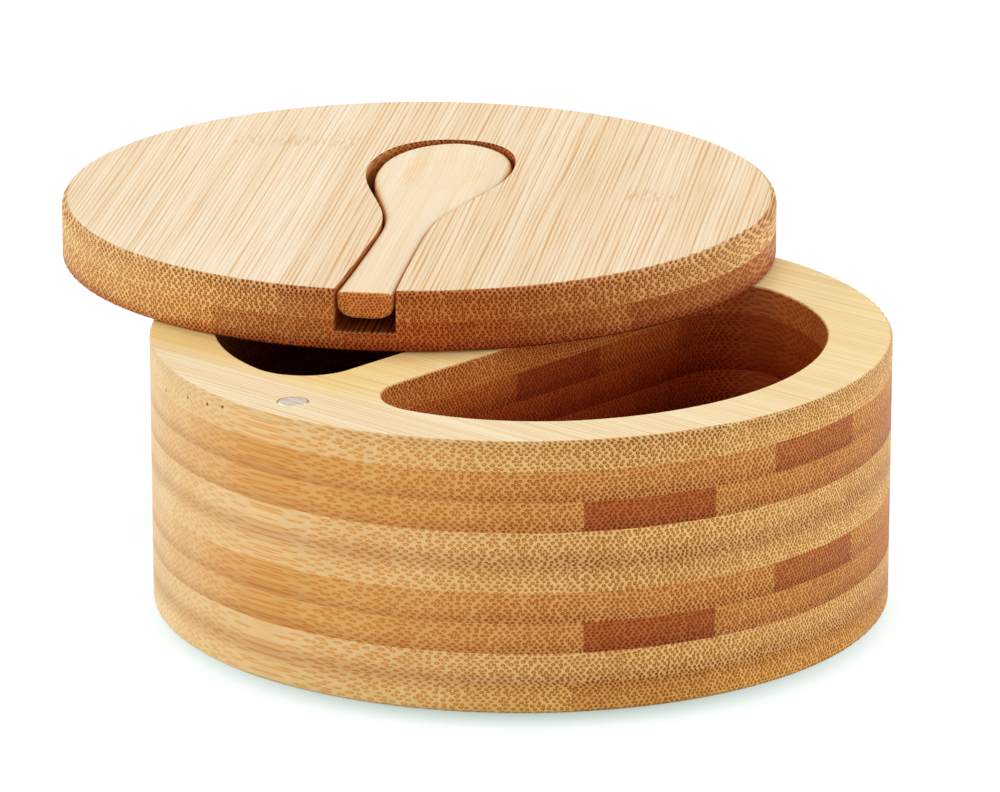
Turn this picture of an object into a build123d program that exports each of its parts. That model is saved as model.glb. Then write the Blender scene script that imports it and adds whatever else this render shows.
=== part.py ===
from build123d import *
import os
from math import atan2, cos, degrees, pi, radians, sin, sqrt

# Round salt box turned from glued bamboo plies: two pockets, a lid that swings on a hidden pin
# and shuts on a magnet, and a spoon that lies in a groove in the lid.
#
# Frame: millimetres, +Z up, origin at the middle of the box's underside. The pin stands on +Y
# and the magnets meet on -Y. The grain, the divider's normal and, when the lid is shut, the
# spoon run along X. The model is written with the lid swung open by lid_swing.

# Box
box_radius = 62.5
ply_count = 9                  # plies in the box, top to bottom
ply_thickness = 5.12
wall_thickness = 10.9          # round wall outside the pockets, at its thinnest
divider_thickness = 11.25      # wall between the two pockets
floor_plies = 2                # whole plies left under the pockets
pocket_shoulder_radius = 40.0  # the pocket's outline turns in with this radius
pocket_shoulder_from = 35.0    # from this many degrees off the X axis, either way
pocket_corner_radius = 9.5     # upright corners, where the divider meets the round wall
pocket_floor_radius = 3.0      # round between pocket wall and floor, for scraping salt out
edge_break = 0.4               # small round on turned and milled edges
foot_break = 0.5               # round on the edge that the box stands on

# Lid
lid_overhang = 0.0             # lid's rim beyond the box's
lid_ply_count = 2
lid_ply_thickness = 5.2
lid_top_round = 1.4
lid_gap = 0.2                  # air between box and lid, held open by the slip washer
lid_swing = -55.4              # degrees from shut, seen from above, positive anticlockwise
hole_inset = 7.2               # from the rim to the middle of the pin, and of the magnets

# Pivot
pin_radius = 2.5
pin_depth = 28.0               # sunk into the box
pin_reach = 7.2                # stands above the box
pin_chamfer = 0.4
neck_width = 1.6               # groove near the pin's top, which keeps the lid from lifting off
neck_depth = 0.5
neck_from_top = 1.2
sleeve_radius = 4.25
sleeve_flange_radius = 5.0
sleeve_flange_thickness = 0.8
sleeve_end = 1.2               # closed end of the sleeve, over the pin
washer_radius = 5.5
washer_thickness = 0.7

# Magnets
magnet_radius = 2.5
magnet_thickness = 2.5
magnet_chamfer = 0.15

# Fits
running_clearance = 0.05       # pin in sleeve, all round
glue_clearance = 0.08          # pin, sleeve and washer in the wood, all round
magnet_clearance = 0.12        # magnet in its hole, all round
end_clearance = 0.3            # over the pin's top, inside the sleeve
lip_clearance = 0.1            # sleeve's lip in the pin's neck, above and below

# Spoon and its groove
spoon_length = 95.8
spoon_setback = 0.5            # from the lid's rim back to the end of the handle
spoon_sink = 0.4               # spoon's top below the lid's top
bowl_width = 23.4
bowl_nose = 18.3               # from the tip to the widest place
shoulder_length = 40.0         # from the widest place to the waist
waist_width = 8.1
handle_end_width = 9.6
handle_thickness = 4.6
bowl_tip_thickness = 2.6
bowl_keel_start = 13.0         # from the tip to where the underside meets the groove's floor
bowl_keel_length = 31.0        # length that rests on the floor
handle_rise = 25.0             # length over which the underside rises to the handle
scoop_length = 29.0
scoop_width = 19.0
scoop_depth = 2.0
spoon_round = 0.8              # round on the spoon's top edge
keel_round = 1.6               # round on its lower edge
groove_depth = 7.4
groove_turn = -1.6             # degrees that spoon and groove lie off the grain
groove_shift = 1.6             # and how far to +Y of the lid's middle
bowl_clearance = 0.7           # groove beyond the bowl on +Y
nail_clearance = 1.7           # and on -Y, wide enough for a fingernail to lift the spoon
waist_clearance = 0.3          # groove beyond the waist, on each side
handle_clearance = 0.45        # and beyond the end of the handle
tip_clearance = 1.2
nose_fullness = 2.3            # superellipse power of the bowl's round end
nose_spans = 8                 # spans of the outline's spline on the bowl's round end,
shoulder_spans = 6             # from there down to the waist,
handle_spans = 3               # and along the handle

# Cutting
overrun = 5.0                  # outlines and cutters run on past what they cut by this
slab_width = 4 * box_radius    # slabs that cut the plies apart are wider than the open part
tolerance = 0.01               # for picking edges by their place

# Worked out
box_height = ply_count * ply_thickness
hole_offset = box_radius - hole_inset
floor_thickness = floor_plies * ply_thickness
pocket_radius = box_radius - wall_thickness
lid_radius = box_radius + lid_overhang
lid_thickness = lid_ply_count * lid_ply_thickness
lid_bottom = box_height + lid_gap
lid_top = lid_bottom + lid_thickness
groove_floor = lid_top - groove_depth
spoon_top = lid_top - spoon_sink
spoon_end = lid_radius - spoon_setback
spoon_tip = spoon_end - spoon_length
belly_x = spoon_tip + bowl_nose
waist_x = belly_x + shoulder_length
pin_top = box_height + pin_reach
pivot = Pos(0, hole_offset, 0)
magnet_place = Pos(0, -hole_offset, 0)
pivot_axis = Axis((0, hole_offset, 0), (0, 0, 1))
spoon_place = Pos(0, groove_shift, 0) * Rot(0, 0, groove_turn)


def upright(radius, bottom, top):
    """Cylinder on the Z axis between two heights."""
    return Pos(0, 0, bottom) * Cylinder(
        radius, top - bottom, align=(Align.CENTER, Align.CENTER, Align.MIN)
    )


def slice_between(shape, bottom, top):
    """The part of a shape that lies between two heights."""
    slab = Box(slab_width, slab_width, top - bottom, align=(Align.CENTER, Align.CENTER, Align.MIN))
    return shape & Pos(0, 0, bottom) * slab


def edges_at(shape, height):
    """The level edges of a shape at one height."""
    return shape.edges().filter_by_position(Axis.Z, height - tolerance, height + tolerance)


def opened(shape):
    """A piece of the shut lid, turned with the lid to where it stands open."""
    return shape.rotate(pivot_axis, lid_swing)


def pocket_outline():
    """The D shape of the +X pocket: three round arcs that meet smoothly, shut by the divider."""
    face_x = divider_thickness / 2
    reach = pocket_radius - pocket_shoulder_radius
    middle_x = reach * cos(radians(pocket_shoulder_from))
    middle_y = reach * sin(radians(pocket_shoulder_from))
    rise = sqrt(pocket_shoulder_radius**2 - (middle_x - face_x) ** 2)
    last = degrees(atan2(rise, face_x - middle_x))
    sweep = last - pocket_shoulder_from
    belly = CenterArc((0, 0), pocket_radius, -pocket_shoulder_from, 2 * pocket_shoulder_from)
    upper = CenterArc(
        (middle_x, middle_y), pocket_shoulder_radius, pocket_shoulder_from, sweep
    )
    lower = CenterArc((middle_x, -middle_y), pocket_shoulder_radius, -last, sweep)
    outline = make_face(lower + belly + upper + Line(upper @ 1, lower @ 0))
    corners = outline.vertices().filter_by_position(Axis.X, face_x - tolerance, face_x + tolerance)
    return fillet(corners, pocket_corner_radius)


def pocket():
    """The +X pocket as a solid, with the round along its floor."""
    depth = box_height - floor_thickness
    hollow = extrude(Pos(0, 0, floor_thickness) * pocket_outline(), depth, dir=(0, 0, 1))
    return fillet(edges_at(hollow, floor_thickness), pocket_floor_radius)


def make_box_block():
    """The whole glued block: disc, pockets, eased edges and the holes for pin, washer, magnet."""
    block = upright(box_radius, 0, box_height)
    block = fillet(edges_at(block, 0), foot_break)
    block -= pocket()
    block -= mirror(pocket(), Plane.YZ)
    block = fillet(edges_at(block, box_height), edge_break)
    socket = upright(pin_radius + glue_clearance, box_height - pin_depth, box_height)
    recess = upright(washer_radius + glue_clearance, washer_seat(), box_height)
    magnet_hole = upright(
        magnet_radius + magnet_clearance, box_height - magnet_thickness, box_height
    )
    return block - pivot * (socket + recess) - magnet_place * magnet_hole


def washer_seat():
    """Height of the recess that the slip washer lies in, so that it stands lid_gap proud."""
    return box_height + lid_gap - washer_thickness


def half_width(x, side, tip, end):
    """Half the width at x of the spoon's outline, or of the groove's with its clearances.

    A superellipse from the tip to the widest place, half a cosine wave down to the waist, then
    a parabola that flares to the end of the handle. The clearances at bowl, waist and end of
    the handle are the three numbers in side.
    """
    belly = bowl_width / 2 + side[0]
    waist = waist_width / 2 + side[1]
    flare = handle_end_width / 2 + side[2]
    if x <= belly_x:
        along = (belly_x - x) / (belly_x - tip)
        return belly * max(0.0, 1 - along**nose_fullness) ** (1 / nose_fullness)
    if x <= waist_x:
        along = (x - belly_x) / shoulder_length
        return waist + (belly - waist) * (1 + cos(pi * along)) / 2
    return waist + (flare - waist) * ((x - waist_x) / (end - waist_x)) ** 2


def paddle(plus_side, minus_side, tip, end):
    """Outline of the spoon, or of its groove, as a face. It runs on past its end by overrun."""
    stop = end + overrun
    turns = [pi / 2 * k / nose_spans for k in range(1, nose_spans)]
    nose = [belly_x - (belly_x - tip) * cos(turn) for turn in turns]
    shoulder = [belly_x + shoulder_length * k / shoulder_spans for k in range(shoulder_spans)]
    handle = [waist_x + (stop - waist_x) * k / handle_spans for k in range(handle_spans + 1)]
    stations = nose + shoulder + handle
    upper = [(x, half_width(x, plus_side, tip, end)) for x in stations]
    lower = [(x, -half_width(x, minus_side, tip, end)) for x in stations]
    edge = Spline(lower[::-1] + [(tip, 0)] + upper)
    return make_face(edge + Line(upper[-1], lower[-1]))


def make_groove():
    """The spoon's groove, cut down from the lid's top and out through its rim."""
    plus_side = (bowl_clearance, waist_clearance, handle_clearance)
    minus_side = (nail_clearance, waist_clearance, handle_clearance)
    outline = paddle(plus_side, minus_side, spoon_tip - tip_clearance, lid_radius)
    outline = Pos(0, 0, groove_floor) * spoon_place * outline
    return extrude(outline, groove_depth + overrun, dir=(0, 0, 1))


def make_lid_board():
    """The whole shut lid: disc, groove and the holes for sleeve and magnet."""
    board = upright(lid_radius, lid_bottom, lid_top)
    board = fillet(edges_at(board, lid_top), lid_top_round)
    board = fillet(edges_at(board, lid_bottom), edge_break)
    board -= make_groove()
    barrel = upright(sleeve_radius + glue_clearance, lid_bottom, sleeve_top())
    flange = upright(
        sleeve_flange_radius + glue_clearance, lid_bottom, lid_bottom + sleeve_flange_thickness
    )
    magnet_hole = upright(
        magnet_radius + magnet_clearance, lid_bottom, lid_bottom + magnet_thickness
    )
    return board - pivot * (barrel + flange) - magnet_place * magnet_hole


def sleeve_top():
    """Height of the sleeve's closed end."""
    return pin_top + end_clearance + sleeve_end


def neck_heights():
    """Bottom and top of the groove near the pin's top."""
    top = pin_top - neck_from_top
    return top - neck_width, top


def make_pin():
    """Steel pin with a chamfer at each end and a neck that the sleeve's lip snaps into."""
    pin = upright(pin_radius, box_height - pin_depth, pin_top)
    pin = chamfer(edges_at(pin, pin_top), pin_chamfer)
    pin = chamfer(edges_at(pin, box_height - pin_depth), pin_chamfer)
    low, high = neck_heights()
    ring = upright(pin_radius + overrun, low, high) - upright(pin_radius - neck_depth, low, high)
    return pivot * (pin - ring)


def make_sleeve():
    """Flanged nylon sleeve, closed over the pin, with an inner lip that runs in the pin's neck."""
    sleeve = upright(sleeve_radius, lid_bottom, sleeve_top())
    sleeve += upright(sleeve_flange_radius, lid_bottom, lid_bottom + sleeve_flange_thickness)
    sleeve -= upright(pin_radius + running_clearance, lid_bottom, pin_top + end_clearance)
    low, high = neck_heights()
    low += lip_clearance
    high -= lip_clearance
    lip = upright(pin_radius + running_clearance, low, high)
    lip -= upright(pin_radius - neck_depth + running_clearance, low, high)
    return pivot * (sleeve + lip)


def make_washer():
    """Thin slip washer round the pin. It stands lid_gap proud of the box and carries the lid."""
    washer = upright(washer_radius, washer_seat(), box_height + lid_gap)
    return pivot * (washer - upright(pin_radius + glue_clearance, 0, lid_top))


def make_magnet(bottom):
    """Disc magnet with slightly broken edges, standing on the given height."""
    magnet = upright(magnet_radius, bottom, bottom + magnet_thickness)
    return magnet_place * chamfer(magnet.edges().filter_by(GeomType.CIRCLE), magnet_chamfer)


def spoon_side_profile():
    """The spoon seen from its side: an arc up to the tip, a level keel, and a rise of two arcs."""
    keel_start = (spoon_tip + bowl_keel_start, groove_floor)
    keel_end = (keel_start[0] + bowl_keel_length, groove_floor)
    handle_start = (keel_end[0] + handle_rise, spoon_top - handle_thickness)
    middle = ((keel_end[0] + handle_start[0]) / 2, (keel_end[1] + handle_start[1]) / 2)
    nose_top = (spoon_tip - bowl_tip_thickness, spoon_top)
    nose = TangentArc(keel_start, (spoon_tip, spoon_top - bowl_tip_thickness), tangent=(-1, 0))
    keel = Line(keel_start, keel_end)
    rise = TangentArc(keel_end, middle, tangent=(1, 0))
    ease = TangentArc(handle_start, middle, tangent=(-1, 0))
    rest = Polyline(
        handle_start, (spoon_end, handle_start[1]), (spoon_end, spoon_top), nose_top, nose @ 1
    )
    return make_face(nose + keel + rise + ease + rest)


def make_scoop():
    """Hollow of the bowl: a spindle whose axis lies along the spoon, above its top."""
    radius = ((scoop_width / 2) ** 2 + scoop_depth**2) / (2 * scoop_depth)
    half = scoop_length / 2
    rise = radius - scoop_depth
    arc = ThreePointArc((-half, rise), (0, radius), (half, rise))
    closing = Polyline((half, rise), (half, 0), (-half, 0), (-half, rise))
    spindle = revolve(make_face(arc + closing), Axis.X)
    return Pos(belly_x, 0, spoon_top + rise) * spindle


def make_spoon():
    """Spoon cut from one piece: outline, side profile, rounded edges and a shallow bowl."""
    outline = paddle((0, 0, 0), (0, 0, 0), spoon_tip, spoon_end)
    plan = extrude(Pos(0, 0, lid_bottom) * outline, lid_thickness, dir=(0, 0, 1))
    side = extrude(Plane.XZ * spoon_side_profile(), bowl_width, both=True)
    spoon = plan & side
    spoon = fillet(contour_edges(spoon, under=True), keel_round)
    spoon = fillet(contour_edges(spoon, under=False), spoon_round)
    return spoon_place * (spoon - make_scoop())


def contour_edges(spoon, under):
    """Edges all round the spoon, on its top or under it, without the seams across its underside."""
    round_edges = spoon.edges().filter_by(
        lambda e: e.geom_type != GeomType.LINE or e.center().X > spoon_end - tolerance
    )
    return round_edges.filter_by(lambda e: (e.center().Z < spoon_top - tolerance) == under)


def build():
    """Every sub-part by its name, where it stands with the lid open."""
    parts = {}
    block = make_box_block()
    for number in range(1, ply_count + 1):
        top = box_height - (number - 1) * ply_thickness
        parts[f"box_ply_{number}"] = slice_between(block, top - ply_thickness, top)
    board = make_lid_board()
    for number in range(1, lid_ply_count + 1):
        top = lid_top - (number - 1) * lid_ply_thickness
        layer = slice_between(board, top - lid_ply_thickness, top)
        parts[f"lid_ply_{number}"] = opened(layer)
    parts["spoon"] = opened(make_spoon())
    parts["pivot_pin"] = make_pin()
    parts["slip_washer"] = make_washer()
    parts["pivot_sleeve"] = opened(make_sleeve())
    parts["box_magnet"] = make_magnet(box_height - magnet_thickness)
    parts["lid_magnet"] = opened(make_magnet(lid_bottom))
    return parts


os.makedirs("parts", exist_ok=True)
for name, shape in build().items():
    shape.label = name
    export_step(shape, f"parts/{name}.step")
    print(name, round(shape.volume, 1))
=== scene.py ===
# %% [markdown]
# # A bamboo salt box with a swivel lid
#
# The box is a block of nine glued bamboo plies, turned round and milled out into two pockets.
# Its lid swings on a hidden pin, shuts on a small magnet and carries a spoon in a groove. The
# shapes of box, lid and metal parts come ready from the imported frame. This script gives them
# their finishes, models the spoon as a smooth surface, and sets up camera, floor and light.

# %% Load the frame
from math import atan2, cos, degrees, pi, radians, sin

import bpy
import numpy as np
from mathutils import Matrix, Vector


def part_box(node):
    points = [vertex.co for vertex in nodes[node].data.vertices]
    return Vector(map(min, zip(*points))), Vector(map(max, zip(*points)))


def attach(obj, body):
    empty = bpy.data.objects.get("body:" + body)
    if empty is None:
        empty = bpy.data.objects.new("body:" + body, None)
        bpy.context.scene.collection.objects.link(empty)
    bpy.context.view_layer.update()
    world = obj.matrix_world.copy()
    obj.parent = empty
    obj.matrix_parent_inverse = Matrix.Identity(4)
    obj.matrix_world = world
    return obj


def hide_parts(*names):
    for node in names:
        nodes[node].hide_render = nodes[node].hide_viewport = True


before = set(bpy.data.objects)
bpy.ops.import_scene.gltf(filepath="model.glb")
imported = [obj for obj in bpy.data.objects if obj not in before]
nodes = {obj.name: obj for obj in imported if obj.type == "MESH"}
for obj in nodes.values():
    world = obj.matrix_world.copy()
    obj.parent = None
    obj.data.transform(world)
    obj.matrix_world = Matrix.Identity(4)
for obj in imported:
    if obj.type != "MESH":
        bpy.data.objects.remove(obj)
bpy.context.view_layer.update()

MM = 0.001
print("nodes:", sorted(nodes))

# %% [markdown]
# ## Where the lid stands
#
# The lid is modelled swung open. Its grain, its groove and its spoon follow the lid, so they
# are worked out in the shut lid's own axes. The two magnets face each other when the lid is
# shut, so the turn between them, seen from the pin, is how far the lid is open.

# %% The lid's turn about its pin


def middle(node):
    """Middle of a CAD node's box, in millimetres."""
    low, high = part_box(node)
    return (low + high) / 2 / MM


def heights(node):
    """Lowest and highest point of a CAD node, in millimetres."""
    low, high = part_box(node)
    return low.z / MM, high.z / MM


pin = middle("pivot_pin")
box_arm = middle("box_magnet") - pin
lid_arm = middle("lid_magnet") - pin
lid_turn = atan2(lid_arm.y, lid_arm.x) - atan2(box_arm.y, box_arm.x)
box_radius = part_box("box_ply_5")[1].x / MM
box_top = heights("box_ply_1")[1]
lid_bottom = heights("lid_ply_2")[0]
lid_top = heights("lid_ply_1")[1]
print(f"lid open by {-degrees(lid_turn):.1f} degrees; box {2 * box_radius:.1f} mm across")

# %% [markdown]
# ## Camera
#
# A long lens a good metre away keeps the round rims close to true ellipses. The camera looks
# down by 17 degrees from the side on which the lid has swung out.

# %% Camera
aim = Vector((-0.002632, -0.002383, 0.0342))
azimuth = radians(42.22)
elevation = radians(17.376)
distance = 1.0882
towards_camera = Vector(
    (sin(azimuth) * cos(elevation), -cos(azimuth) * cos(elevation), sin(elevation))
)
camera_data = bpy.data.cameras.new("camera")
camera_data.lens = 231.9
camera_data.sensor_width = 36.0
camera_data.clip_start = 0.05
camera = bpy.data.objects.new("camera", camera_data)
camera.location = aim + distance * towards_camera
camera.rotation_euler = (-towards_camera).to_track_quat("-Z", "Y").to_euler()
bpy.context.scene.collection.objects.link(camera)
bpy.context.scene.camera = camera
bpy.context.scene.view_settings.view_transform = "Standard"
print("camera at", [round(v, 3) for v in camera.location])

# %% [markdown]
# ## Building materials from nodes
#
# Every finish here is a small network of shader nodes. A few helpers keep the networks
# readable: one adds a node and fills or links its sockets, the others do the same for a sum,
# a mix of colours, a smooth step and a noise.

# %% Node helpers


def add(tree, kind, sockets=(), **settings):
    """A new node. Sockets maps a socket's name or number to a value or to another's output."""
    made = tree.nodes.new("ShaderNode" + kind)
    for name, value in settings.items():
        setattr(made, name, value)
    for socket, value in dict(sockets).items():
        if isinstance(value, bpy.types.NodeSocket):
            tree.links.new(value, made.inputs[socket])
        else:
            made.inputs[socket].default_value = value
    return made


def calc(tree, operation, *values):
    """The result of one Math node."""
    return add(tree, "Math", enumerate(values), operation=operation).outputs[0]


def ramp(tree, value, low, high, start=0.0, end=1.0):
    """A value that goes smoothly from start to end while another goes from low to high."""
    sockets = {0: value, 1: low, 2: high, 3: start, 4: end}
    return add(tree, "MapRange", sockets, interpolation_type="SMOOTHSTEP").outputs[0]


def blend(tree, share, first, second):
    """A colour between two, by a share from 0 to 1."""
    return add(tree, "Mix", {0: share, 6: first, 7: second}, data_type="RGBA").outputs[2]


def multiply_tone(tree, share, colour, tone):
    """A colour multiplied by a tone, by a share from 0 to 1."""
    sockets = {0: share, 6: colour, 7: tone}
    mixed = add(tree, "Mix", sockets, data_type="RGBA", blend_type="MULTIPLY")
    return mixed.outputs[2]


def scaled(tree, colour, factor):
    """A colour made lighter or darker by a factor."""
    return add(tree, "VectorMath", {0: colour, "Scale": factor}, operation="SCALE").outputs[0]


def split(tree, vector):
    """The three parts of a vector."""
    return add(tree, "SeparateXYZ", {0: vector}).outputs


def noise(tree, place, lengths, seed=0, detail=2.0):
    """Smooth noise whose features are about as long as lengths along each axis."""
    sockets = {0: place, "Scale": [1 / length for length in lengths], "Location": (seed, seed, seed)}
    stretched = add(tree, "Mapping", sockets).outputs[0]
    sockets = {"Vector": stretched, "Scale": 1.0, "Detail": detail, "Roughness": 0.5}
    return add(tree, "TexNoise", sockets).outputs


def relief(tree, shader, height, strength, depth):
    """Link a bump to a shader. Depth is in metres."""
    sockets = {"Strength": strength, "Distance": depth, "Height": height}
    tree.links.new(add(tree, "Bump", sockets).outputs[0], shader.inputs["Normal"])


def new_material(name):
    """An empty material and its Principled shader."""
    material = bpy.data.materials.new(name)
    material.use_nodes = True
    material.node_tree.nodes.clear()
    shader = add(material.node_tree, "BsdfPrincipled")
    output = add(material.node_tree, "OutputMaterial")
    material.node_tree.links.new(shader.outputs[0], output.inputs[0])
    return material, material.node_tree, shader


def own_axes(tree, turn=0.0):
    """Place in millimetres, and direction, in the axes that the wood was made in.

    Both are turned back about the pin by the turn that the piece has been given.
    """
    source = add(tree, "TexCoord")
    back = Vector((0, 0, -turn))
    shift = Vector((
        pin.x - cos(turn) * pin.x - sin(turn) * pin.y,
        pin.y + sin(turn) * pin.x - cos(turn) * pin.y,
        0,
    ))
    sockets = {0: source.outputs["Object"], "Location": shift, "Rotation": back}
    sockets["Scale"] = (1 / MM, 1 / MM, 1 / MM)
    place = add(tree, "Mapping", sockets).outputs[0]
    sockets = {0: source.outputs["Normal"], "Rotation": back}
    facing = add(tree, "Mapping", sockets, vector_type="VECTOR").outputs[0]
    return place, facing


def wear(node, material):
    """Give a CAD node one material."""
    nodes[node].data.materials.clear()
    nodes[node].data.materials.append(material)


# %% [markdown]
# ## Bamboo
#
# Bamboo is a pale ground with dark fibre bundles that run along it. Cut across, each bundle is
# a ringlet with a light core. Cut along, it is a thin line, and on a slant it is a dash. The
# wood is a solid pattern here: ringlets on the plane across the grain, carried along the
# grain, so that the round side shows ringlets, dashes and streaks where a real one would.
#
# A ply is glued from strips about 20 mm wide. Each strip has its own tone, and its own
# coarseness of bundles. They crowd towards the face that was the outside of the stem.

# %% Colours of bamboo


def tint(red, green, blue):
    """A colour written as it looks on a screen, from 0 to 255, as the shader wants it."""
    shares = np.array([red, green, blue]) / 255
    linear = np.where(shares < 0.04045, shares / 12.92, ((shares + 0.055) / 1.055) ** 2.4)
    return (*(float(v) for v in linear), 1.0)


# A finish is the ground's colour and the bundles' colour on faces along the grain, then both
# on faces across it, then both on the flat top and bottom.
light = [tint(232, 201, 146), tint(204, 132, 54), tint(226, 189, 126), tint(104, 36, 0),
         tint(250, 235, 203), tint(236, 190, 122)]
caramel = [tint(220, 172, 103), tint(186, 110, 40), tint(215, 160, 93), tint(88, 28, 0),
           tint(230, 190, 132), tint(196, 134, 72)]
lid_light = [tint(234, 206, 148), tint(140, 78, 30), tint(234, 191, 128), tint(70, 20, 0),
             tint(249, 233, 206), tint(222, 174, 116)]
lid_deep = [tint(222, 180, 114), tint(110, 50, 18), tint(228, 177, 111), tint(62, 18, 0),
            tint(236, 206, 164), tint(200, 140, 90)]
honey = [*light[:2], tint(226, 180, 104), *light[3:]]
# Painted sheen: the paler colour that the box's side takes on towards -X.
pale = tint(231, 207, 163)
# Painted shade and bounce from the lid: the yellower colour of the box's flat top near it.
painted_lid_bounce = tint(248, 223, 156)
halo_tone = tint(255, 222, 150)
band_tone = tint(250, 243, 232)
rind_tone = tint(228, 182, 150)
deep_tone = tint(208, 160, 144)
heart_tone = tint(230, 184, 146)
flat_tone = tint(244, 230, 206)
# Painted shade in the pockets and the groove: darker tones for the ground and bundles below the top,
# and deeper ones further down.
pocket_shade_near = tint(250, 198, 160)
milled_shade_fibre = tint(150, 80, 48)
pocket_shade_deep = tint(204, 150, 132)
groove_ground = tint(255, 228, 200)
groove_deep = tint(176, 122, 86)
fleck_tone = tint(120, 84, 50)
print("light wood in linear light:", [round(value, 3) for value in light[0][:3]])

# %% The strips of a ply


def strip_values(tree, across, strips):
    """Tone, coarseness and phase of the strip at a place across the grain.

    Strips holds where each strip starts, in millimetres, how deep its tone is and how coarse
    its bundles are. The values come from the stepped stops of a colour ramp.
    """
    share = add(tree, "MapRange", {0: across, 1: -box_radius, 2: box_radius}).outputs[0]
    stops = add(tree, "ValToRGB", {0: share})
    stops.color_ramp.interpolation = "CONSTANT"
    elements = stops.color_ramp.elements
    elements.remove(elements[1])
    for number, (start, tone, coarse) in enumerate(strips):
        place = (start + box_radius) / (2 * box_radius)
        element = elements.new(place) if number else elements[0]
        element.position = place
        element.color = (tone, coarse, 0.37 * number % 1.0, 1.0)
    return add(tree, "SeparateColor", {0: stops.outputs[0]}).outputs


# %% [markdown]
# ### Fibre bundles
#
# The bundles could be drawn as an image, but an image stretches where the wood is turned round.
# A pattern that is worked out in space meets every face as real fibres do, so one function
# makes the ringlets on the plane across the grain, and another the lines on faces along it.

# %% Ringlets across the grain


def ringlets(tree, across, depth, phase, coarse, strength, size):
    """How dark a fibre bundle is at a place on the plane across the grain, from 0 to 1.

    Rows of bundles lie along the ply. Their spacing grows from near to far with the depth d,
    as near + g d, so the row number is log(1 + g d / near) / g. Every row is set off by half a
    pitch. A Voronoi cell gives each place its own bundle, and the distance from the bundle's
    middle makes a dark ring with a light core and a heavier side away from the stem's outside.
    The ground is browner in a halo around each. Both are returned.
    """
    pitch, near, far, radius, thickness = size
    growth = (far - near) / thickness
    spacing = calc(tree, "MULTIPLY_ADD", depth, growth, near)
    row = calc(tree, "LOGARITHM", calc(tree, "DIVIDE", spacing, near), 2.718282)
    row = calc(tree, "MULTIPLY_ADD", row, 1 / growth, calc(tree, "MULTIPLY", phase, 7.0))
    pitch = calc(tree, "MULTIPLY_ADD", coarse, 0.25 * pitch, 0.9 * pitch)
    column = calc(tree, "DIVIDE", across, pitch)
    column = calc(tree, "ADD", column, calc(tree, "MULTIPLY", row, 0.5))
    column = calc(tree, "MULTIPLY_ADD", phase, 37.0, column)
    cell_place = add(tree, "CombineXYZ", {0: column, 1: row}).outputs[0]
    sockets = {"Vector": cell_place, "Scale": 1.0, "Randomness": 0.36}
    cells = add(tree, "TexVoronoi", sockets, voronoi_dimensions="2D")
    away = {0: cell_place, 1: cells.outputs["Position"]}
    away = split(tree, add(tree, "VectorMath", away, operation="SUBTRACT").outputs[0])
    side = calc(tree, "MULTIPLY", calc(tree, "MULTIPLY_ADD", away[1], -0.5, away[0]), pitch)
    down = calc(tree, "MULTIPLY", calc(tree, "MULTIPLY", away[1], spacing), 0.85)
    gap = calc(tree, "ADD", calc(tree, "MULTIPLY", side, side), calc(tree, "MULTIPLY", down, down))
    gap = calc(tree, "SQRT", gap)
    chance = split(tree, cells.outputs["Color"])[0]
    chance = calc(tree, "MULTIPLY_ADD", chance, 0.3 * radius, 0.85 * radius)
    chance = calc(tree, "MULTIPLY_ADD", coarse, 0.2 * radius, chance)
    chance = calc(tree, "MULTIPLY", chance, calc(tree, "MULTIPLY_ADD", strength, 0.35, 0.65))
    chance = calc(tree, "MULTIPLY", chance, ramp(tree, depth, 0.0, 1.6, 0.86, 1.0))
    reach = calc(tree, "DIVIDE", gap, chance)
    disc = ramp(tree, reach, 1.12, 0.92)
    open_core = ramp(tree, depth, 0.0, 1.8, 0.1, 0.95)
    core = calc(tree, "MULTIPLY", ramp(tree, reach, 0.6, 0.2), open_core)
    heavy = ramp(tree, calc(tree, "DIVIDE", down, radius), -0.8, 0.5, 0.6, 1.0)
    faint = ramp(tree, depth, 0.4, 5.0, 1.0, 0.9)
    ring = calc(tree, "MULTIPLY", disc, calc(tree, "SUBTRACT", 1.0, core))
    ring = calc(tree, "MULTIPLY", ring, strength)
    ring = calc(tree, "MULTIPLY", ring, calc(tree, "MULTIPLY", heavy, faint))
    halo = calc(tree, "MULTIPLY", ramp(tree, reach, 1.5, 0.9), strength)
    return ring, halo


# %% Lines and knuckles along the grain
line_pitch = 0.84


def fibre_lines(tree, place, seed):
    """How dark a fibre line is on a face along the grain, from 0 to 1.

    Bundles lie side by side about a pitch p apart, so sin(2 pi y / p) draws a line along each.
    Noise bends the lines a little, crowds and spreads them, and fades each one out and in. A
    finer noise adds hairlines where it crosses its middle value.
    """
    y = split(tree, place)[1]
    sway = calc(tree, "SUBTRACT", noise(tree, place, (80, 9, 9), seed + 5, 1.0)[0], 0.5)
    crowd = calc(tree, "SUBTRACT", noise(tree, place, (150, 1.9, 6), seed + 7, 1.0)[0], 0.5)
    swayed = calc(tree, "MULTIPLY_ADD", sway, 0.9, calc(tree, "MULTIPLY_ADD", crowd, 1.5, y))
    wave = calc(tree, "SINE", calc(tree, "MULTIPLY", swayed, 2 * pi / line_pitch))
    fade = ramp(tree, noise(tree, place, (34, 0.9, 3), seed + 9, 1.0)[0], 0.36, 0.62, 0.3, 1.0)
    main = calc(tree, "MULTIPLY", ramp(tree, wave, 0.1, 0.95), fade)
    hair = calc(tree, "SUBTRACT", noise(tree, place, (80, 0.4, 3), seed + 3, 0.0)[0], 0.5)
    hair = ramp(tree, calc(tree, "ABSOLUTE", hair), 0.0, 0.06, 0.4, 0.0)
    return calc(tree, "MAXIMUM", main, hair)


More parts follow.
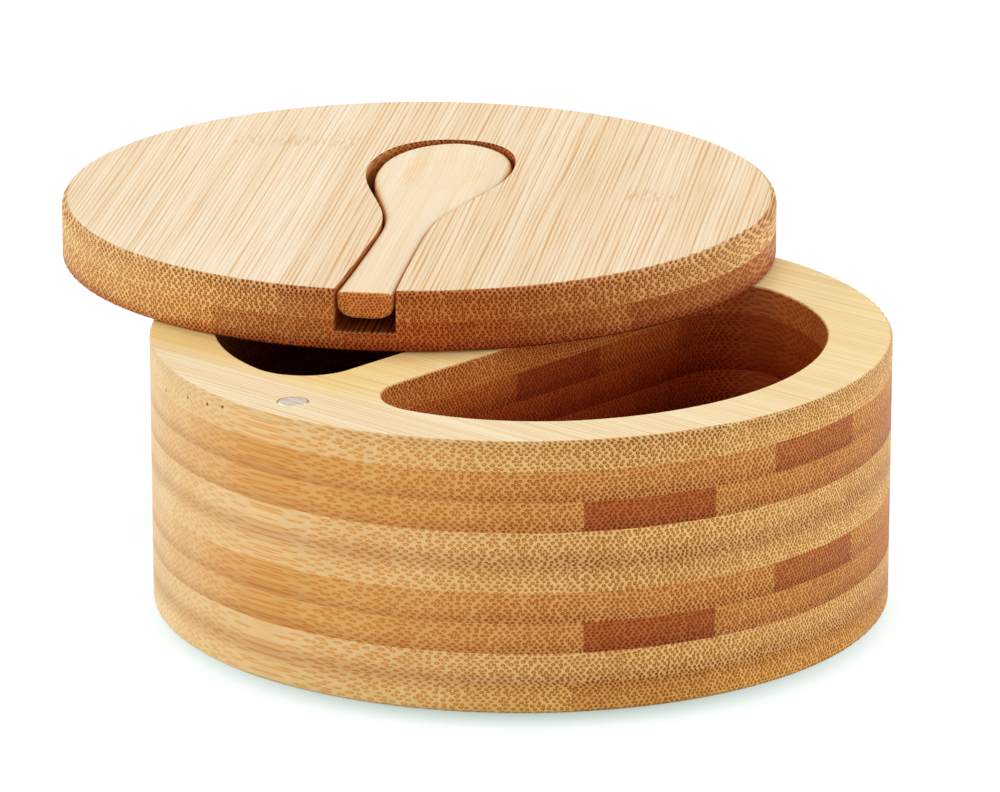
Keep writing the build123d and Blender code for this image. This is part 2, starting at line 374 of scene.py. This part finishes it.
def knuckle_specks(tree, place, knuckles):
    """How dark the short wavy specks are where a strip crosses a knuckle of its stem.

    Knuckles holds each one's place along the grain and its strip's two edges across it.
    """
    x, y = split(tree, place)[:2]
    specks = ramp(tree, noise(tree, place, (4.5, 0.42, 2), 4, 1.0)[0], 0.46, 0.7, 0.0, 0.75)
    shown = 0.0
    for along, low, high in knuckles:
        off = calc(tree, "ABSOLUTE", calc(tree, "SUBTRACT", x, along))
        band = calc(tree, "MULTIPLY", ramp(tree, off, 7.0, 1.0), ramp(tree, y, low, low + 0.6))
        band = calc(tree, "MULTIPLY", band, ramp(tree, y, high, high - 0.6))
        shown = calc(tree, "MAXIMUM", shown, band)
    return calc(tree, "MULTIPLY", specks, shown)


# %% [markdown]
# ### One ply
#
# Every ply needs the same wood in other tones, so one function makes the material from a finish
# and a list of strips. It lays ringlets and lines on the ground's colour, then the browner wood
# near the stem's outside, the tone of each strip, and a faint relief.

# %% The material of a ply
fleck_radius = 0.42
fleck_core = 0.16


def ply_colours(tree, finish, plan, end_grain, flat, halo, painted_light):
    """Colours of the ground and of the bundles on a ply, before the painted shade of milled walls
    and the other tones.

    With painted light, the side goes paler towards -X, a painted sheen, and the flat top goes
    yellower towards -X and the pin, painted shade and bounce from the lid.
    """
    x, y = plan
    ground = blend(tree, end_grain, finish[0], finish[2])
    fibre = blend(tree, end_grain, finish[1], finish[3])
    flat_ground = finish[4]
    if painted_light:
        # Painted sheen: the side goes paler towards -X.
        ground = blend(tree, ramp(tree, x, 2.0, -42.0, 0.0, 0.85), ground, pale)
        # Painted shade and bounce from the lid: the flat top goes yellower near it and towards the
        # pin.
        lid_bounce_share = calc(tree, "MULTIPLY", ramp(tree, x, 22.0, -4.0), ramp(tree, y, -52.0, -44.0))
        lid_bounce_share = calc(tree, "MAXIMUM", lid_bounce_share, ramp(tree, y, -56.0, 50.0, 0.0, 0.7))
        flat_ground = blend(tree, lid_bounce_share, flat_ground, painted_lid_bounce)
    ground = multiply_tone(tree, halo, ground, halo_tone)
    ground = blend(tree, flat, ground, flat_ground)
    return ground, blend(tree, flat, fibre, finish[5])


def bamboo(name, node, finish, outside_up, strips, size, turn=0.0, milled=None, heart=None,
           painted_light=False, rind=0.3, knuckles=(), flecks=(), sides=None, level=(0.9, 0.985)):
    """Material for one ply. Outside_up says that its upper face was the outside of the stem.

    Milled holds a function that tells how far a place lies inside what was milled out of the
    ply, and the tones of painted shade that go there near the top and deep down. Painted_light
    paints light on the box: a paler side towards -X, a painted sheen that in part also fades
    the bundles, and a yellower flat top near the lid, painted shade and bounce from it.
    Heart holds where across the grain the stem's darker end grain is, and how far it reaches.
    Rind says how much browner the wood is next to the stem's outside. Knuckles and flecks hold
    the places of those small marks. Sides is a tone for the faces that stand upright. Level says
    how upright a normal has to be for a face to count as flat.
    """
    material, tree, shader = new_material(name)
    low, high = heights(node)
    seed = round(low) + 7 * outside_up
    place, facing = own_axes(tree, turn)
    x, y, z = split(tree, place)
    drift = split(tree, noise(tree, place, (42, 9, 7), seed, 1.0)["Color"])
    across = calc(tree, "MULTIPLY_ADD", drift[0], 1.3, y)
    height = calc(tree, "MULTIPLY_ADD", calc(tree, "SUBTRACT", drift[1], 0.5), 1.4, z)
    if outside_up:
        depth = calc(tree, "SUBTRACT", high, height)
    else:
        depth = calc(tree, "SUBTRACT", height, low)
    depth = calc(tree, "MAXIMUM", depth, -0.4)
    tone, coarse, phase = strip_values(tree, y, strips)[:3]
    # With painted light the bundles grow fainter towards -X, partly a painted sheen and partly the
    # wood's own look.
    strength = ramp(tree, x, -26.0, 64.0, 0.3, 1.0) if painted_light else 1.0
    if heart:
        off = calc(tree, "ABSOLUTE", calc(tree, "SUBTRACT", y, heart[0]))
        strength = ramp(tree, off, 58.0, 30.0, 0.85, 1.0)
    end_grain = calc(tree, "ABSOLUTE", split(tree, facing)[0])
    end_grain = ramp(tree, end_grain, 0.15, 0.9)
    if milled:
        inside, near_shade, deep_shade = milled
        near, deep = inside(tree, place)
        shown = calc(tree, "MULTIPLY", near, calc(tree, "MULTIPLY_ADD", end_grain, 0.5, 0.5))
        change = calc(tree, "SUBTRACT", shown, strength)
        strength = calc(tree, "MULTIPLY_ADD", near, change, strength)
    bundles, halo = ringlets(tree, across, depth, phase, coarse, strength, (*size, high - low))
    upward = calc(tree, "ABSOLUTE", split(tree, facing)[2])
    flat = ramp(tree, upward, *level)
    not_flat = calc(tree, "SUBTRACT", 1.0, flat)
    lines = fibre_lines(tree, place, seed)
    pores = noise(tree, place, (30, 0.16, 1.0), seed, 1.0)[0]
    bands = noise(tree, place, (160, 3.2, 9.0), seed, 2.0)[0]
    ground, fibre = ply_colours(tree, finish, (x, y), end_grain, flat, halo, painted_light)
    lines = calc(tree, "MULTIPLY", lines, calc(tree, "MULTIPLY_ADD", tone, 0.7, 0.75))
    if knuckles:
        lines = calc(tree, "MAXIMUM", lines, knuckle_specks(tree, place, knuckles))
    marks = calc(tree, "MULTIPLY_ADD", flat, calc(tree, "SUBTRACT", lines, bundles), bundles)
    # Painted shade on the milled walls of the pockets and the groove.
    if milled:
        ground = multiply_tone(tree, deep, multiply_tone(tree, near, ground, near_shade), deep_shade)
        fibre = multiply_tone(tree, deep, multiply_tone(tree, near, fibre, milled_shade_fibre), deep_shade)
    colour = blend(tree, marks, ground, fibre)

    shade = ramp(tree, pores, 0.3, 0.7, 1.0, 1.06)
    shade = calc(tree, "MULTIPLY", shade, ramp(tree, depth, 0.0, 2.6, 0.9, 1.0))
    colour = multiply_tone(tree, ramp(tree, bands, 0.65, 0.35), colour, band_tone)
    outer = calc(tree, "MULTIPLY", ramp(tree, depth, 2.4, 0.3, 0.0, rind), not_flat)
    colour = multiply_tone(tree, outer, colour, rind_tone)
    colour = multiply_tone(tree, tone, colour, blend(tree, flat, deep_tone, flat_tone))
    if heart:
        share = calc(tree, "MULTIPLY", ramp(tree, off, heart[1], 5.0), not_flat)
        colour = multiply_tone(tree, share, colour, heart_tone)
    if sides:
        colour = multiply_tone(tree, ramp(tree, upward, 0.96, 0.7), colour, sides)
    colour = scaled(tree, colour, shade)
    for fleck in flecks:
        apart = add(tree, "VectorMath", {0: place, 1: fleck}, operation="DISTANCE").outputs["Value"]
        colour = multiply_tone(tree, ramp(tree, apart, fleck_radius, fleck_core), colour, fleck_tone)
    tree.links.new(colour, shader.inputs["Base Color"])

    rough = calc(tree, "MULTIPLY_ADD", marks, 0.1, ramp(tree, bands, 0.3, 0.7, 0.44, 0.54))
    tree.links.new(rough, shader.inputs["Roughness"])
    shader.inputs["Specular IOR Level"].default_value = 0.12
    relief(tree, shader, calc(tree, "MULTIPLY_ADD", marks, -1.0, pores), 0.25, 0.05 * MM)
    return material


# %% [markdown]
# ### Painted shade in the pockets and the groove
#
# The pockets and the groove are painted darker and browner inside, more so deep down and, in
# the pockets, under the lid: this is painted shade. No face is marked as milled, so it is told
# by its place: inside the rim and below the top.

# %% Where the wood is milled out
rim_width = 9.0
mouth_half = 5.2


def radius_at(tree, x, y):
    """Distance from the middle of the box, or of the shut lid, in plan."""
    squares = calc(tree, "ADD", calc(tree, "MULTIPLY", x, x), calc(tree, "MULTIPLY", y, y))
    return calc(tree, "SQRT", squares)


def in_pocket(tree, place):
    """How much painted shade a place in a pocket gets: from just under the rim, more to the floor.

    The walls towards the pin stay under the lid, and get the deep painted shade up to the rim.
    """
    x, y, z = split(tree, place)
    edge = box_radius - rim_width
    inside = ramp(tree, radius_at(tree, x, y), edge, edge - 0.6)
    # Painted shade: the whole pocket below the rim, more towards the floor, and the walls under the
    # lid up to the rim.
    near = calc(tree, "MULTIPLY", inside, ramp(tree, z, box_top - 0.05, box_top - 0.35))
    deep = calc(tree, "MULTIPLY", inside, ramp(tree, z, box_top - 2.0, box_top - 16.0))
    under_lid_shade = calc(tree, "MULTIPLY", near, ramp(tree, y, 16.0, 40.0, 0.0, 0.6))
    return near, calc(tree, "MAXIMUM", deep, under_lid_shade)


def in_groove(tree, place):
    """Painted shade in the groove at a place: under the lid's top, and more further down."""
    x, y, z = split(tree, place)
    inside = ramp(tree, radius_at(tree, x, y), box_radius - 0.5, box_radius - 1.1)
    off = calc(tree, "ABSOLUTE", calc(tree, "ADD", y, 0.1))
    mouth = ramp(tree, off, mouth_half + 0.15, mouth_half)
    mouth = calc(tree, "MULTIPLY", mouth, ramp(tree, x, 45.0, 50.0))
    inside = calc(tree, "MAXIMUM", inside, mouth)
    inside = calc(tree, "MULTIPLY", inside, ramp(tree, z, lid_bottom + 2.0, lid_bottom + 2.6))
    # Painted shade: the whole groove below the lid's top, and more further down, except at the rim.
    near = calc(tree, "MULTIPLY", inside, ramp(tree, z, lid_top - 0.2, lid_top - 1.0))
    deep = calc(tree, "MULTIPLY", inside, ramp(tree, z, lid_top - 2.8, lid_top - 6.0))
    off_rim = ramp(tree, radius_at(tree, x, y), box_radius, box_radius - 2.0)
    deep = calc(tree, "MULTIPLY", deep, off_rim)
    return near, deep


# Painted shade: each mask goes with its tone under the top and its tone deep down.
pocket_painted_shade = (in_pocket, pocket_shade_near, pocket_shade_deep)
groove_painted_shade = (in_groove, groove_ground, groove_deep)
print(f"painted shade: pockets from {rim_width} mm in, groove's mouth {mouth_half} mm each way")

# %% [markdown]
# ## The box's plies
#
# Two caramel plies, steamed until they turned brown, lie between pairs of light ones. The list
# gives each ply's finish, whether its upper face was the outside of the stem, and its strips:
# where each starts across the grain, how deep its tone is and how coarse its bundles are.

# %% Plies of the box
upper_light = [(-62.5, 0.1, 0.3), (-41.3, 0.14, 1.0), (-18.0, 0.06, 0.3), (4.5, 0.0, 0.2),
               (27.0, 0.0, 0.6)]
upper_caramel = [(-62.5, 0.1, 0.3), (-27.8, 0.05, 0.7), (-7.5, 0.8, 0.3), (13.4, 0.1, 1.0),
                 (34.0, 0.4, 0.2)]
lower_caramel = [(-62.5, 0.1, 0.2), (-39.4, 1.0, 0.3), (-19.3, 0.15, 0.5), (1.0, 0.3, 0.3),
                 (21.5, 0.45, 0.6)]
lower_light = [(-62.5, 0.14, 0.5), (-34.0, 0.0, 0.8), (-10.5, 0.06, 0.4), (11.0, 0.15, 0.6),
               (33.0, 0.0, 0.2)]
foot = [(-62.5, 0.0, 0.4), (-40.8, 0.32, 0.2), (-20.5, 0.12, 0.5), (0.0, 0.2, 0.4), (20.5, 0.3, 0.3)]
box_plies = {
    1: (light, True, upper_light),
    2: (caramel, False, upper_caramel),
    3: (caramel, False, lower_caramel),
    4: (light, False, lower_light),
    5: (light, True, upper_light),
    6: (caramel, False, upper_caramel),
    7: (caramel, False, lower_caramel),
    8: (light, False, lower_light),
    9: (honey, True, foot),
}
side_flecks = [
    (box_radius * cos(radians(angle)), box_radius * sin(radians(angle)), box_top - below)
    for angle, below in ((-118, 4.3), (-109, 2.7), (-103, 2.1), (-99, 1.5))
]
# Bundles: their pitch across, their spacing near the stem's outside and far from it, their radius.
box_bundles = (0.75, 0.47, 0.63, 0.203)
for number, (finish, outside_up, strips) in box_plies.items():
    node = f"box_ply_{number}"
    top_ply = number == 1
    wood = bamboo(f"bamboo_{node}", node, finish, outside_up, strips, box_bundles,
                  milled=pocket_painted_shade, painted_light=True, rind=0.0 if top_ply else 0.3,
                  flecks=side_flecks if top_ply else ())
    wear(node, wood)
print("box plies finished:", len(box_plies))

# %% [markdown]
# ## The lid's plies
#
# The lid is two plies of coarser bamboo. Its patterns turn with it.

# %% Plies of the lid
lid_upper = [(-62.5, 0.1, 0.4), (-38.5, 0.05, 1.0), (-15.2, 0.3, 0.4), (12.4, 0.3, 0.5),
             (35.2, 0.25, 0.8)]
lid_lower = [(-62.5, 0.0, 0.6), (-27.0, 0.4, 0.3), (-4.0, 0.65, 0.6), (18.0, 0.5, 0.3),
             (42.4, 0.85, 0.2)]
lid_knuckles = [(-30.5, -38.5, -15.2), (-2.0, 35.2, 46.0)]
lid_plies = {1: (lid_light, True, lid_upper), 2: (lid_deep, False, lid_lower)}
lid_bundles = (0.82, 0.46, 0.62, 0.23)
lid_heart = (12, 50)
lid_rinds = {1: 0.2, 2: 1.0}
for number, (finish, outside_up, strips) in lid_plies.items():
    node = f"lid_ply_{number}"
    wood = bamboo(f"bamboo_{node}", node, finish, outside_up, strips, lid_bundles, lid_turn,
                  groove_painted_shade, heart=lid_heart, rind=lid_rinds[number],
                  knuckles=lid_knuckles if number == 1 else ())
    wear(node, wood)
print("lid plies finished:", len(lid_plies))

# %% [markdown]
# ## The spoon
#
# The spoon is one closed surface, computed section by section along its length. Seen from
# above it runs from a full round bowl down to a waist and flares again to the end of the
# handle. Its top is level, apart from the shallow bowl. Its underside rises in an arc to the
# tip, rests on the groove's floor for a stretch and then rises to the handle.

# %% The spoon's outline and underside
length = 95.8
setback = 0.5
bowl_nose = 18.3
shoulder = 40.0
bowl_half = 23.4 / 2
waist_half = 8.1 / 2
end_half = 9.6 / 2
sink = 0.4
groove_depth = 7.4
keel_from_tip = 13.0
keel_length = 31.0
climb_length = 25.0
tip_thickness = 2.6
handle_thickness = 4.6
scoop_depth = 1.5
scoop_shift = 0.5
scoop_half_length = 14.5
scoop_half_width = 9.5
end = box_radius - setback
tip = end - length
belly = tip + bowl_nose
waist = belly + shoulder
spoon_top = lid_top - sink
keel = lid_top - groove_depth
keel_start = tip + keel_from_tip
keel_end = keel_start + keel_length
handle_start = keel_end + climb_length
tip_under = spoon_top - tip_thickness
handle_under = spoon_top - handle_thickness


def half_width(x):
    """Half the spoon's width at x: a superellipse, half a cosine wave, then a parabola.

    w = b (1 - t^2.3)^(1/2.3) over the bowl's round end, w = a + (b - a)(1 + cos pi t) / 2 down
    to the waist, and w = a + (c - a) t^2 along the handle, with t from 0 to 1 on each.
    """
    nose = np.clip((belly - x) / (belly - tip), 0, 1)
    neck = np.clip((x - belly) / (waist - belly), 0, 1)
    flare = np.clip((x - waist) / (end - waist), 0, 1)
    round_end = bowl_half * (1 - nose**2.3) ** (1 / 2.3)
    shaft = waist_half + (bowl_half - waist_half) * (1 + np.cos(pi * neck)) / 2
    return np.where(x < belly, round_end, shaft + (end_half - waist_half) * flare**2)


def underside(x):
    """Height of the spoon's underside: an arc of radius r, the level keel, then two parabolas."""
    rise = tip_under - keel
    run = keel_start - tip
    radius = (run**2 + rise**2) / (2 * rise)
    nose = radius - np.sqrt(radius**2 - np.clip(keel_start - x, 0, run) ** 2)
    share = np.clip((x - keel_end) / (handle_start - keel_end), 0, 1)
    climb = np.where(share < 0.5, 2 * share**2, 1 - 2 * (1 - share) ** 2)
    return keel + nose + (handle_under - keel) * climb


def scoop(x, y):
    """Depth of the hollow at a place: d (1 - q^2)^1.5 inside an ellipse, where q is 1."""
    q = ((x - belly - scoop_shift) / scoop_half_length) ** 2 + (y / scoop_half_width) ** 2
    return scoop_depth * np.clip(1 - q, 0, 1) ** 1.5


print(f"spoon {length} mm long, {2 * bowl_half} mm wide at the bowl")

# %% The spoon as one surface
around = 128
edge_height = 1.3
edge_round = 0.7


def section(x, inset=0.0):
    """Points round the spoon at x: two superellipse halves that meet on the edge line.

    Y = w cos^(2/n) and z = h sin^(2/n), with n = 6 above for a flat top with a small round,
    and n from 2.3 under the bowl to 3.2 under the handle. The points are then spread evenly.
    """
    wide = half_width(x) - inset
    share = np.clip((x - belly) / (waist - belly), 0, 1)
    above = edge_height - inset
    below = spoon_top - edge_height - underside(x) - inset
    turn = np.linspace(0, 2 * pi, 1601)
    power = np.where(turn < pi, 6.0, 2.3 + 0.9 * share)
    height = np.where(turn < pi, above, below)
    y = wide * np.sign(np.cos(turn)) * np.abs(np.cos(turn)) ** (2 / power)
    z = height * np.sign(np.sin(turn)) * np.abs(np.sin(turn)) ** (2 / power)
    steps = np.hypot(np.diff(y), np.diff(z))
    travelled = np.concatenate([[0], np.cumsum(steps)])
    even = np.linspace(0, travelled[-1], around, endpoint=False)
    y = np.interp(even, travelled, y)
    z = np.interp(even, travelled, z)
    z -= scoop(x, y) * (z > above * 0.5)
    return np.stack([np.full(around, x), y, spoon_top - edge_height + z], axis=1)


def spoon_rings():
    """Every section from the tip to the rounded end of the handle, then rings over its face."""
    bowl = belly - (belly - tip) * np.cos(np.linspace(0.06, pi / 2, 44))
    neck = np.linspace(belly, waist, 52)[1:]
    handle = np.linspace(waist, end - edge_round, 34)[1:]
    rings = [section(x) for x in np.concatenate([bowl, neck, handle])]
    for turn in np.linspace(0, pi / 2, 6)[1:]:
        inset = edge_round * (1 - cos(turn))
        ring = section(end - edge_round, inset)
        ring[:, 0] = end - edge_round + edge_round * sin(turn)
        rings.append(ring)
    face = rings[-1]
    for size in (0.8, 0.6, 0.4, 0.2):
        rings.append(face.mean(axis=0) + (face - face.mean(axis=0)) * size)
    return rings


def closed_skin(name, rings, first, last):
    """A mesh object from rings of points, closed by a point before the first and after the last."""
    count = len(rings[0])
    points = np.concatenate([[first], *rings, [last]])
    faces = []
    for row in range(len(rings) - 1):
        start = 1 + row * count
        for k in range(count):
            after = (k + 1) % count
            faces.append((start + k, start + after, start + count + after, start + count + k))
    foot = 1 + (len(rings) - 1) * count
    for k in range(count):
        after = (k + 1) % count
        faces.append((0, 1 + after, 1 + k))
        faces.append((len(points) - 1, foot + k, foot + after))
    mesh = bpy.data.meshes.new(name)
    mesh.from_pydata(points * MM, [], faces)
    mesh.polygons.foreach_set("use_smooth", [True] * len(mesh.polygons))
    made = bpy.data.objects.new(name, mesh)
    bpy.context.scene.collection.objects.link(made)
    return made


def turned(points, angle, centre):
    """Points turned about the vertical through a centre, by an angle in radians."""
    turn = np.array([[cos(angle), -sin(angle), 0], [sin(angle), cos(angle), 0], [0, 0, 1]])
    return (points - centre) @ turn.T + centre


groove_turn = radians(-1.6)
groove_shift = np.array([0, 1.6, 0])
rings = spoon_rings()
tip_point = np.array([[tip, 0, spoon_top - edge_height]])
end_point = rings[-1].mean(axis=0, keepdims=True)
placed = [turned(ring, groove_turn, 0) + groove_shift for ring in [tip_point, *rings, end_point]]
placed = [turned(ring, lid_turn, np.array(pin)) for ring in placed]
spoon = closed_skin("bamboo_spoon", placed[1:-1], placed[0][0], placed[-1][0])
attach(spoon, "spoon")
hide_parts("spoon")
spoon_strips = [(-62.5, 0.0, 0.0)]
spoon_bundles = (0.68, 0.42, 0.54, 0.18)
spoon_wood = [tint(237, 219, 189), tint(225, 196, 150), tint(228, 184, 142), tint(64, 18, 0),
              tint(237, 219, 190), tint(230, 208, 172)]
wood = bamboo("pale_bamboo_spoon", "spoon", spoon_wood, False, spoon_strips, spoon_bundles,
              lid_turn, sides=tint(232, 186, 132), level=(0.955, 0.995))
spoon.data.materials.append(wood)
print("spoon faces:", len(spoon.data.polygons))

# %% [markdown]
# ## Metal and nylon
#
# The pin is ground steel, the two magnets are plated with nickel, and the sleeve and the washer
# are nylon. One magnet shows and the rest is hidden, so each finish is a single noise: drawn
# out long for the lines that grinding leaves, and even in all directions for nylon.

# %% Metal and nylon


def metal(name, colour, roughness, grain):
    """Metal with fine lines from grinding, as long thin noise along one axis."""
    material, tree, shader = new_material(name)
    lines = noise(tree, own_axes(tree)[0], grain)[0]
    shade = ramp(tree, lines, 0.3, 0.7, 0.9, 1.05)
    rough = ramp(tree, lines, 0.3, 0.7, roughness - 0.06, roughness + 0.08)
    tree.links.new(scaled(tree, colour[:3], shade), shader.inputs["Base Color"])
    tree.links.new(rough, shader.inputs["Roughness"])
    shader.inputs["Metallic"].default_value = 1.0
    relief(tree, shader, lines, 0.2, 0.02 * MM)
    return material


def nylon(name):
    """Natural nylon: milky, with a faint mottle."""
    material, tree, shader = new_material(name)
    mottle = noise(tree, own_axes(tree)[0], (1.5, 1.5, 1.5))[0]
    colour = blend(tree, mottle, tint(226, 222, 208), tint(238, 235, 224))
    tree.links.new(colour, shader.inputs["Base Color"])
    tree.links.new(ramp(tree, mottle, 0.3, 0.7, 0.35, 0.45), shader.inputs["Roughness"])
    relief(tree, shader, mottle, 0.1, 0.02 * MM)
    return material


steel = metal("ground_steel", tint(186, 187, 190), 0.3, (6, 6, 0.1))
nickel = metal("nickel_plate", tint(214, 208, 194), 0.38, (4, 0.25, 4))
milky = nylon("natural_nylon")
for name, material in {
    "pivot_pin": steel,
    "box_magnet": nickel,
    "lid_magnet": nickel,
    "pivot_sleeve": milky,
    "slip_washer": milky,
}.items():
    wear(name, material)

# %% [markdown]
# ## Floor and light
#
# The box stands on white paper in a bright room. Lit paper alone would come out in patches of
# grey, so it glows evenly where it is seen, with a soft shade next to the box, and is a plain
# light grey for light that bounces off it. The lamps are large, because small ones would draw
# hard shadows, and they stand behind, at both sides and in front.

# %% Floor
floor_side = 6.0
floor_mesh = bpy.data.meshes.new("floor")
signs = ((-1, -1), (1, -1), (1, 1), (-1, 1))
corners = [(x * floor_side / 2, y * floor_side / 2, 0) for x, y in signs]
floor_mesh.from_pydata(corners, [], [(0, 1, 2, 3)])
floor = bpy.data.objects.new("floor", floor_mesh)
bpy.context.scene.collection.objects.link(floor)


def seen_directly(tree):
    """1 for what the camera sees, straight or in a reflection, and 0 for light that bounces."""
    path = add(tree, "LightPath").outputs
    seen = calc(tree, "MAXIMUM", path["Is Camera Ray"], path["Is Glossy Ray"])
    return calc(tree, "MAXIMUM", seen, path["Is Transmission Ray"])


shade_middle = Vector((4.9, -5.0, 0.0))
shade_reach = 3.1
shade_core = 10.9
paper_shade = (0.42, 0.5, 0.46, 1)
paper_seen = (0.2, 0.2, 0.2, 1)
paper_bounced = (0.7, 0.7, 0.7, 1)
paper_glow = (0.84, 0.9, 0.88, 1)
ambient_strength = 0.3


def contact_shade(tree):
    """How dark the paper is next to the box, from 0 to 1. It fades out over a few millimetres.

    It is a soft round patch under the box, set off a little towards the front, because the
    lamps stand more to the back.
    """
    place = add(tree, "TexCoord").outputs["Object"]
    apart = {0: place, 1: shade_middle * MM}
    out = add(tree, "VectorMath", apart, operation="DISTANCE").outputs["Value"]
    out = calc(tree, "DIVIDE", out, MM)
    return ramp(tree, out, box_radius + shade_reach, box_radius - shade_core)


paper = bpy.data.materials.new("white_paper")
paper.use_nodes = True
paper_tree = paper.node_tree
paper_tree.nodes.clear()
seen = seen_directly(paper_tree)
shade = contact_shade(paper_tree)
paper_colour = blend(paper_tree, seen, paper_bounced, paper_seen)
matt_colour = multiply_tone(paper_tree, shade, paper_colour, paper_shade)
glow_colour = multiply_tone(paper_tree, shade, paper_glow, paper_shade)
matt = add(paper_tree, "BsdfDiffuse", {"Color": matt_colour})
glow = add(paper_tree, "Emission", {"Color": glow_colour, "Strength": seen})
both = add(paper_tree, "AddShader", {0: matt.outputs[0], 1: glow.outputs[0]})
add(paper_tree, "OutputMaterial", {0: both.outputs[0]})
floor_mesh.materials.append(paper)

# %% World and lamps
world = bpy.data.worlds.new("studio")
bpy.context.scene.world = world
world.use_nodes = True
sky = world.node_tree
sky.nodes.clear()
ambient = add(sky, "Background", {0: (1, 1, 1, 1), 1: ambient_strength})
white = add(sky, "Background", {0: (1, 1, 1, 1), 1: 1.0})
mixed = add(sky, "MixShader", {0: seen_directly(sky), 1: ambient.outputs[0], 2: white.outputs[0]})
add(sky, "OutputWorld", {0: mixed.outputs[0]})

rightwards = Vector((cos(azimuth), sin(azimuth), 0))
forwards = Vector((-sin(azimuth), cos(azimuth), 0))


def softbox(name, place, width, height, power):
    """A rectangular lamp that faces the middle of the object."""
    data = bpy.data.lights.new(name, "AREA")
    data.shape = "RECTANGLE"
    data.size, data.size_y = width, height
    data.energy = power
    lamp = bpy.data.objects.new(name, data)
    lamp.location = place
    lamp.rotation_euler = (aim - place).to_track_quat("-Z", "Y").to_euler()
    bpy.context.scene.collection.objects.link(lamp)


up = Vector((0, 0, 1))
# Each lamp's place to the right, away from the camera and up in metres, its size and its power.
lamps = {
    "overhead": ((0, 0.35, 1.3), (1.1, 1.1), 8.3),
    "left": ((-1.2, 0.3, 0.45), (0.7, 0.9), 8.5),
    "right": ((1.2, 0.3, 0.45), (0.7, 0.9), 8.3),
    "front left": ((-0.8, -1.1, 0.35), (0.8, 0.7), 5.6),
    "front right": ((0.8, -1.1, 0.35), (0.8, 0.7), 5.9),
}
for name, ((across, away, above), (width, height), power) in lamps.items():
    place = rightwards * across + forwards * away + up * above
    softbox(name, place, width, height, power)
print("lamps:", len(lamps))
